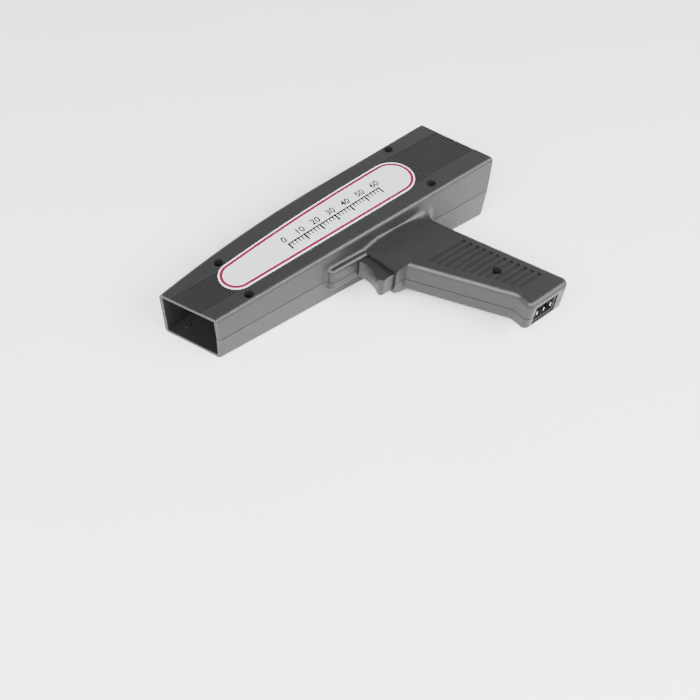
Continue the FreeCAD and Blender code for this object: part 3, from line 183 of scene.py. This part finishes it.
CASE = plastic("case_charcoal", (0.008, 0.0082, 0.0088), rough=(0.34, 0.46), bump=0.85, gloss=0.40)
# seam_shadow is painted shadow: the shade of the groove along the joint of the two halves.
SEAM = plastic("seam_shadow", (0.002, 0.002, 0.002), rough=(0.8, 0.9), gloss=0.05)
# The trigger is the case's plastic. Its colour is a little darker as painted shade, for the dark look of its
# up-facing top.
TRIGGER = plastic("trigger_charcoal", (0.007, 0.0072, 0.0078), rough=(0.34, 0.44), grain=2400.0, gloss=0.42)
BLACK = plastic("inner_black", (0.007, 0.007, 0.0075), rough=(0.35, 0.5), grain=3000.0, bump=0.2)
PANEL_BLACK = plastic("panel_black", (0.02, 0.02, 0.022), rough=(0.4, 0.5), grain=3000.0, bump=0.3)
KEY = plastic("key_grey", (0.10, 0.10, 0.105), rough=(0.3, 0.4), grain=3200.0, bump=0.15)
KEY_RED = plastic("key_red", (0.35, 0.02, 0.025), rough=(0.3, 0.4), grain=3200.0, bump=0.15)
NYLON = plastic("nylon_natural", (0.62, 0.60, 0.52), rough=(0.35, 0.45), grain=2200.0, bump=0.1)
CHIP = plastic("moulding_epoxy", (0.015, 0.015, 0.016), rough=(0.45, 0.6), grain=5000.0, bump=0.2)
SLEEVE = plastic("shrunk_sleeve", (0.01, 0.018, 0.08), rough=(0.2, 0.3), grain=800.0, bump=0.05, coat=0.4)
LEAD = plastic("lead_red", (0.25, 0.012, 0.012), rough=(0.35, 0.45), grain=1500.0, bump=0.08)
SCREW = metal("screw_black_zinc", (0.09, 0.09, 0.095), (0.3, 0.45))
SPRING = metal("spring_wire", (0.55, 0.55, 0.56), (0.2, 0.3))
TIN = metal("tinned_blade", (0.86, 0.84, 0.80), (0.15, 0.28), (1.0, 0.08, 1.0), 2500.0)
COPPER = metal("winding_copper", (0.60, 0.25, 0.10), (0.3, 0.45), (1.0, 1.0, 6.0), 700.0, 0.3)
SINK = metal("sink_aluminium", (0.75, 0.76, 0.78), (0.25, 0.4), (0.1, 1.0, 1.0), 1800.0)
MIRROR = metal("reflector_bright", (0.93, 0.93, 0.92), (0.04, 0.09), (1.0, 1.0, 0.1), 400.0, 0.02)
FERRITE = plastic("ferrite", (0.03, 0.03, 0.031), rough=(0.5, 0.7), grain=4000.0, bump=0.5)
BOARD = plastic("board_resist", (0.010, 0.085, 0.030), rough=(0.25, 0.35), grain=1400.0, bump=0.06, coat=0.3)
LENS = clear("lens_acrylic", (0.97, 0.98, 0.99))
QUARTZ = clear("tube_quartz", (0.97, 0.97, 0.99), 0.01, 1.46)
WINDOW = clear("window_red", (0.35, 0.03, 0.03), 0.05, 1.49)
FACE = plastic("display_face", (0.05, 0.05, 0.048), rough=(0.35, 0.45), grain=3000.0, bump=0.05)
GREY_FILM = film("label_grey", (0.43, 0.442, 0.45), gloss=0.3)
WHITE_FILM = film("label_white", (0.60, 0.60, 0.60), gloss=0.3)
RED_FILM = film("label_crimson", (0.11, 0.003, 0.022), rough=(0.5, 0.6), gloss=0.15)
INK = film("label_ink", (0.003, 0.003, 0.0035), 0.8, (0.6, 0.7), 0.1)
SEGMENT = film("segment_red", (0.75, 0.05, 0.03))
WHITE_INK = film("key_mark", (0.75, 0.75, 0.74))

FINISH = {
    "left_housing": CASE, "right_housing": CASE, "label_plate": WHITE_FILM, "trigger": TRIGGER,
    "trigger_spring": SPRING, "trigger_switch": BLACK, "switch_button": KEY, "barrel_screws": SCREW,
    "grip_screw": SCREW, "lens_ring": BLACK, "lens": LENS, "reflector": MIRROR, "flash_tube": QUARTZ,
    "tube_caps": TIN, "lamp_holder": BLACK, "trigger_coil": COPPER, "main_board": BOARD,
    "board_screws": SCREW, "flash_capacitor": SLEEVE, "inverter_core": FERRITE,
    "inverter_winding": COPPER, "heat_sink": SINK, "power_transistor": CHIP, "board_chips": CHIP,
    "power_header": NYLON, "rear_panel": PANEL_BLACK, "display_window": WINDOW,
    "display_module": FACE, "display_board": BOARD, "minus_button": KEY, "mode_button": KEY_RED,
    "plus_button": KEY, "key_switches": BLACK, "connector_socket": BLACK, "connector_pins": TIN,
    "power_harness": LEAD, "lamp_leads": LEAD,
}


def soften(item, width, segments=2, angle=40.0):
    """Round the arrises of a CAD node without touching its mesh."""
    weld = item.modifiers.new("weld", "WELD")
    weld.merge_threshold = 0.000002
    bevel = item.modifiers.new("arris", "BEVEL")
    bevel.width = width
    bevel.segments = segments
    bevel.limit_method = "ANGLE"
    bevel.angle_limit = math.radians(angle)
    bevel.use_clamp_overlap = False


for name, item in nodes.items():
    item.data.materials.clear()
    item.data.materials.append(FINISH[name])
soften(nodes["trigger"], 0.5 * MM, 3)
for name in ("minus_button", "mode_button", "plus_button"):
    soften(nodes[name], 0.15 * MM)


# ---------------------------------------------------------------- mesh helpers

def mesh_piece(name, verts, faces, material, body):
    """A mesh that rides on a body and carries one of the record's material slots."""
    data = bpy.data.meshes.new(name)
    data.from_pydata([tuple(v) for v in verts], [], faces)
    data.materials.append(material)
    data.validate()
    item = bpy.data.objects.new(name, data)
    bpy.context.scene.collection.objects.link(item)
    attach(item, body)
    return item


def plate(outlines, low, high, place):
    """Vertices and faces of flat plates from closed outlines, all in one mesh."""
    verts, faces = [], []
    for points in outlines:
        start = len(verts)
        count = len(points)
        for z in (low, high):
            verts += [place @ Vector((x, y, z)) for x, y in points]
        faces.append(tuple(start + i for i in reversed(range(count))))
        faces.append(tuple(start + count + i for i in range(count)))
        for i in range(count):
            j = (i + 1) % count
            faces.append((start + i, start + j, start + count + j, start + count + i))
    return verts, faces


def loop_band(outer, inner, low, high, place):
    """Ring between two loops with the same number of points."""
    count = len(outer)
    verts = []
    for points in (outer, inner):
        for z in (low, high):
            verts += [place @ Vector((x, y, z)) for x, y in points]
    faces = []
    for i in range(count):
        j = (i + 1) % count
        faces.append((i, j, count + j, count + i))
        faces.append((count + i, count + j, 3 * count + j, 3 * count + i))
        faces.append((2 * count + j, 2 * count + i, 3 * count + i, 3 * count + j))
        faces.append((j, i, 2 * count + i, 2 * count + j))
    return verts, faces


# ---------------------------------------------------------------- label

FRONT, FRONT_R = Vector((0.0296, 0.0230)), 0.0117
REAR, REAR_R = Vector((0.1610, 0.0293)), 0.0156
BULGE = 0.0016


def label_loop(inset, steps=40):
    """The label's tapered, slightly bulged outline moved in by inset."""
    front, rear = FRONT_R - inset, REAR_R - inset
    points = []
    for i in range(steps + 1):
        a = -math.pi / 2 + math.pi * i / steps
        points.append((REAR.x + rear * math.cos(a), REAR.y + rear * math.sin(a)))
    start = Vector(points[-1])
    end = Vector((FRONT.x, FRONT.y + front))
    for i in range(1, steps * 2):
        t = i / (steps * 2)
        p = start.lerp(end, t)
        points.append((p.x, p.y + BULGE * 4 * t * (1 - t)))
    for i in range(steps + 1):
        a = math.pi / 2 + math.pi * i / steps
        points.append((FRONT.x + front * math.cos(a), FRONT.y + front * math.sin(a)))
    return points


SLANT = math.atan((REAR.y - FRONT.y) / (REAR.x - FRONT.x))
ALONG = LABEL @ Matrix.Translation((FRONT.x, FRONT.y, 0)) @ Matrix.Rotation(SLANT, 4, "Z")
PRINT = (LABEL_TOP - 0.02 * MM, LABEL_TOP + 0.05 * MM)


CAP_SHARE = 0.72
BOLDER = 0.028
FIGURE_THICK = 0.08 * MM


def numerals(name, text, high, place, material, body):
    """Plain figures as a flat solid, centred on the origin of place."""
    curve = bpy.data.curves.new(name + "_outline", "FONT")
    curve.body = text
    curve.size = high / CAP_SHARE
    curve.align_x = "CENTER"
    curve.align_y = "CENTER"
    curve.extrude = FIGURE_THICK / 2
    curve.offset = high * BOLDER
    holder = bpy.data.objects.new(name + "_outline", curve)
    data = bpy.data.meshes.new_from_object(holder)
    bpy.data.objects.remove(holder)
    bpy.data.curves.remove(curve)
    verts = [place @ v.co for v in data.vertices]
    faces = [tuple(f.vertices) for f in data.polygons]
    bpy.data.meshes.remove(data)
    return mesh_piece(name, verts, faces, material, body)


def bar(x, y, wide, high):
    return [(x - wide / 2, y), (x + wide / 2, y), (x + wide / 2, y + high), (x - wide / 2, y + high)]


# The ring and the scale's strokes are wider than printed ones would be, so that they still read
# on a bright label from the camera's distance.
RING_OUT, RING_IN, FIELD_IN = 0.9 * MM, 2.9 * MM, 3.3 * MM
SCALE_START, SCALE_PITCH, SCALE_STEPS = 40.0 * MM, 2.6 * MM, 30
MAJOR_EVERY, DEGREES_A_STEP = 5, 2
RULE_LOW, RULE_HIGH, RULE_OVER = -1.6 * MM, 1.1 * MM, 1.2 * MM
MAJOR_TICK = (-6.4 * MM, 1.3 * MM, 5.2 * MM)
MINOR_TICK = (-4.4 * MM, 0.9 * MM, 3.2 * MM)
FIGURE_UP, FIGURE_HIGH = 3.4 * MM, 5.0 * MM
INK_LOW, INK_MIDDLE, INK_HIGH = LABEL_TOP + 0.03 * MM, LABEL_TOP + 0.07 * MM, LABEL_TOP + 0.11 * MM


def build_label():
    """Crimson ring, grey field and a plain degree scale in dark ink."""
    verts, faces = loop_band(label_loop(RING_OUT), label_loop(RING_IN), *PRINT, LABEL)
    mesh_piece("label_line", verts, faces, RED_FILM, "case")
    verts, faces = plate([label_loop(FIELD_IN)], *PRINT, LABEL)
    mesh_piece("label_field", verts, faces, GREY_FILM, "case")
    length = SCALE_PITCH * SCALE_STEPS
    marks = [bar(SCALE_START + length / 2, RULE_LOW, length + RULE_OVER, RULE_HIGH)]
    for i in range(SCALE_STEPS + 1):
        low, wide, high = MINOR_TICK if i % MAJOR_EVERY else MAJOR_TICK
        marks.append(bar(SCALE_START + SCALE_PITCH * i, low, wide, high))
    verts, faces = plate(marks, INK_LOW, INK_HIGH, ALONG)
    mesh_piece("label_scale", verts, faces, INK, "case")
    for i in range(0, SCALE_STEPS + 1, MAJOR_EVERY):
        degrees = i * DEGREES_A_STEP
        spot = ALONG @ Matrix.Translation((SCALE_START + SCALE_PITCH * i, FIGURE_UP, INK_MIDDLE))
        numerals("label_figure_%d" % degrees, str(degrees), FIGURE_HIGH, spot, INK, "case")


build_label()


# ---------------------------------------------------------------- parting line

SEAM_HALF = 0.2 * MM
SEAM_OUT, SEAM_IN = 0.04 * MM, -0.06 * MM
PROBE_OUT = 0.3 * MM
JOINT_LEVEL = 0.02 * MM
SAME_POINT = 0.000002


def outer_joint_edges(work, joint):
    """Edges of the joint face that lie on the outside of the case, with their outward normals."""
    tree = BVHTree.FromBMesh(work)
    found = []
    for edge in work.edges:
        walls = [f for f in edge.link_faces if f not in joint]
        if len(walls) != 1 or len(edge.link_faces) != 2:
            continue
        normal = walls[0].normal.copy()
        normal.z = 0
        if normal.length < 0.5:
            continue
        normal.normalize()
        middle = (edge.verts[0].co + edge.verts[1].co) / 2
        probe = Vector((middle.x, middle.y, 0)) + normal * PROBE_OUT
        if tree.ray_cast(probe, Vector((0, 0, 1)))[0] is None:
            found.append((edge.verts[0], edge.verts[1], normal))
    return found


def build_seam():
    """Dark ribbon of painted shadow, a hair proud of the case, along the outside of the joint of the two
    halves; it stands in for the shade in the joint's groove.
    """
    half = nodes["left_housing"]
    work = bmesh.new()
    work.from_mesh(half.data)
    bmesh.ops.remove_doubles(work, verts=work.verts, dist=SAME_POINT)
    work.transform(LAY.inverted() @ half.matrix_world)
    work.normal_update()
    joint = {f for f in work.faces if all(abs(v.co.z) < JOINT_LEVEL for v in f.verts)}
    edges = outer_joint_edges(work, joint)
    outward = {}
    for a, b, normal in edges:
        for corner in (a, b):
            outward[corner] = outward.get(corner, Vector()) + normal
    verts, faces, start = [], [], {}
    for corner, normal in outward.items():
        start[corner] = len(verts)
        normal.normalize()
        for reach, high in ((SEAM_OUT, -1), (SEAM_OUT, 1), (SEAM_IN, 1), (SEAM_IN, -1)):
            spot = Vector((corner.co.x, corner.co.y, 0)) + normal * reach
            spot.z = high * SEAM_HALF
            verts.append(LAY @ spot)
    for a, b, normal in edges:
        along = b.co - a.co
        if along.cross(Vector((0, 0, 1))).dot(normal) < 0:
            a, b = b, a
        i, j = start[a], start[b]
        for k in range(4):
            n = (k + 1) % 4
            faces.append((i + k, j + k, j + n, i + n))
    work.free()
    mesh_piece("seam_line", verts, faces, SEAM, "case")


build_seam()


# ---------------------------------------------------------------- rear panel

WINDOW_UP, KEYS_UP, KEY_PITCH = 39 * MM, 17 * MM, 12.5 * MM
READOUT_FACE, KEY_FACE = -5.6 * MM, 0.2 * MM
READING = "800"
SEGMENTS = {"0": "abcdef", "8": "abcdefg"}
STROKE = 1.3 * MM
STROKE_GAP = 0.25 * MM
DIGIT_WIDE, DIGIT_HIGH, DIGIT_PITCH = 6.6 * MM, 11.6 * MM, 10.2 * MM
MARK_LONG, MARK_WIDE = 3.4 * MM, 0.75 * MM
RING_RADIUS, RING_SHARE, RING_POINTS = 1.7 * MM, 0.6, 32


def stroke(across, centre, length):
    """Six-sided display stroke, lying across or standing up."""
    half, thick = length / 2, STROKE / 2
    shape = [(-half, 0), (-half + thick, thick), (half - thick, thick), (half, 0), (half - thick, -thick),
             (-half + thick, -thick)]
    if not across:
        shape = [(-y, x) for x, y in shape]
    return [(x + centre[0], y + centre[1]) for x, y in shape]


def digit(text, centre):
    """Strokes of one seven-segment figure."""
    reach, half = DIGIT_WIDE / 2, DIGIT_HIGH / 2
    places = {"a": (True, (0, half)), "g": (True, (0, 0)), "d": (True, (0, -half)),
              "b": (False, (reach, half / 2)), "c": (False, (reach, -half / 2)),
              "f": (False, (-reach, half / 2)), "e": (False, (-reach, -half / 2))}
    shapes = []
    for letter in SEGMENTS[text]:
        across, (x, y) = places[letter]
        length = (DIGIT_WIDE if across else half) - STROKE_GAP
        shapes.append(stroke(across, (x + centre[0], y + centre[1]), length))
    return shapes


# Faces the viewer from behind the gun: X across to the viewer's right, Y up the panel.
REAR_FACE = PANEL @ Matrix(((0, 0, 1, 0), (0, 1, 0, 0), (-1, 0, 0, 0), (0, 0, 0, 1)))


def build_readout():
    """Three-figure readout on the display's face, behind the red window."""
    shapes = []
    for index, text in enumerate(READING):
        shapes += digit(text, ((index - 1) * DIGIT_PITCH, WINDOW_UP))
    verts, faces = plate(shapes, READOUT_FACE - 0.02 * MM, READOUT_FACE + 0.05 * MM, REAR_FACE)
    mesh_piece("readout_digits", verts, faces, SEGMENT, "case")


def build_key_marks():
    """Minus, ring and plus printed on the three keys.

    Known fault: across runs to -Z here, while the CAD's minus_button is at -Z.  The minus mark so
    lies on the plus key and the plus mark on the minus key, each riding with the other key.
    """
    low, high = KEY_FACE - 0.02 * MM, KEY_FACE + 0.04 * MM
    long, wide = MARK_LONG, MARK_WIDE
    turns = [2 * math.pi * i / RING_POINTS for i in range(RING_POINTS)]
    ring = [(RING_RADIUS * math.cos(a), RING_RADIUS * math.sin(a)) for a in turns]
    small = [(x * RING_SHARE, y * RING_SHARE) for x, y in ring]
    minus = [bar(0, -wide / 2, long, wide)]
    plus = [bar(0, -wide / 2, long, wide), bar(0, wide / 2, wide, (long - wide) / 2),
            bar(0, -long / 2, wide, (long - wide) / 2)]
    for name, across, shapes in (("minus", -KEY_PITCH, minus), ("plus", KEY_PITCH, plus)):
        spot = REAR_FACE @ Matrix.Translation((across, KEYS_UP, 0))
        verts, faces = plate(shapes, low, high, spot)
        mesh_piece(name + "_mark", verts, faces, WHITE_INK, name + "_button_body")
    spot = REAR_FACE @ Matrix.Translation((0, KEYS_UP, 0))
    verts, faces = loop_band(ring, small, low, high, spot)
    mesh_piece("mode_mark", verts, faces, WHITE_INK, "mode_button_body")


build_readout()
build_key_marks()


# ---------------------------------------------------------------- stage, light, camera

def build_floor():
    m = Nodes("floor_paper")
    m.link(m.ramp(m.noise(9.0, 3.0), [(0.3, (0.86, 0.86, 0.86)), (0.7, (0.88, 0.88, 0.88))]),
           m.shader.inputs["Base Color"])
    m.set(Roughness=0.9)
    data = bpy.data.meshes.new("floor")
    span = 6.0
    corners = [(-span, -span, 0), (span, -span, 0), (span, span, 0), (-span, span, 0)]
    data.from_pydata(corners, [], [(0, 1, 2, 3)])
    data.materials.append(m.material)
    item = bpy.data.objects.new("floor", data)
    bpy.context.scene.collection.objects.link(item)


SKY_STOPS = [(0.0, 0.40), (0.35, 0.36), (0.60, 0.13), (1.0, 0.11)]
SKY_STRENGTH = 5.0


def build_world():
    """Grey sky, dim overhead so that the top faces stay dark."""
    world = bpy.data.worlds.new("studio")
    bpy.context.scene.world = world
    world.use_nodes = True
    tree = world.node_tree
    back = tree.nodes["Background"]
    coords = tree.nodes.new("ShaderNodeTexCoord")
    split = tree.nodes.new("ShaderNodeSeparateXYZ")
    ramp = tree.nodes.new("ShaderNodeValToRGB")
    tree.links.new(coords.outputs["Generated"], split.inputs["Vector"])
    tree.links.new(split.outputs["Z"], ramp.inputs["Fac"])
    elements = ramp.color_ramp.elements
    while len(elements) < len(SKY_STOPS):
        elements.new(0.5)
    for element, (place, value) in zip(elements, SKY_STOPS):
        element.position = place
        element.color = (value, value, value, 1.0)
    tree.links.new(ramp.outputs["Color"], back.inputs["Color"])
    back.inputs["Strength"].default_value = SKY_STRENGTH


def area(name, where, target, size, power):
    light = bpy.data.lights.new(name, "AREA")
    light.shape = "RECTANGLE"
    light.size, light.size_y = size
    light.energy = power
    item = bpy.data.objects.new(name, light)
    bpy.context.scene.collection.objects.link(item)
    item.location = where
    item.rotation_euler = (Vector(target) - Vector(where)).to_track_quat("-Z", "Y").to_euler()


CAMERA_TURN = (-42.985, 51.888, 4.474)      # azimuth, elevation and roll in degrees
CAMERA_AIM = Vector((0.057946, -0.052923, 0))
CAMERA_DISTANCE, CAMERA_LENS = 0.49497, 42.17


def build_camera():
    azimuth, elevation, roll = (math.radians(a) for a in CAMERA_TURN)
    back = Vector((math.sin(azimuth) * math.cos(elevation), -math.cos(azimuth) * math.cos(elevation),
                   math.sin(elevation)))
    right = Vector((math.cos(azimuth), math.sin(azimuth), 0))
    up = back.cross(right)
    across = right * math.cos(roll) + up * math.sin(roll)
    tall = up * math.cos(roll) - right * math.sin(roll)
    place = CAMERA_AIM + back * CAMERA_DISTANCE
    local = Matrix((across, tall, back)).transposed().to_4x4()
    local.translation = place
    camera = bpy.data.cameras.new("camera")
    camera.sensor_width = 36.0
    camera.lens = CAMERA_LENS
    camera.clip_start = 0.01
    item = bpy.data.objects.new("camera", camera)
    bpy.context.scene.collection.objects.link(item)
    item.matrix_world = LAY @ local
    bpy.context.scene.camera = item


build_floor()
build_world()
LAMP_AIM = (0, 0, 0.03)
area("left_bank", (-0.95, -0.5, 1.0), LAMP_AIM, (1.2, 0.7), 76.0)
area("right_bank", (0.45, -0.95, 0.9), LAMP_AIM, (1.2, 0.6), 58.0)
build_camera()

bpy.context.view_layer.update()
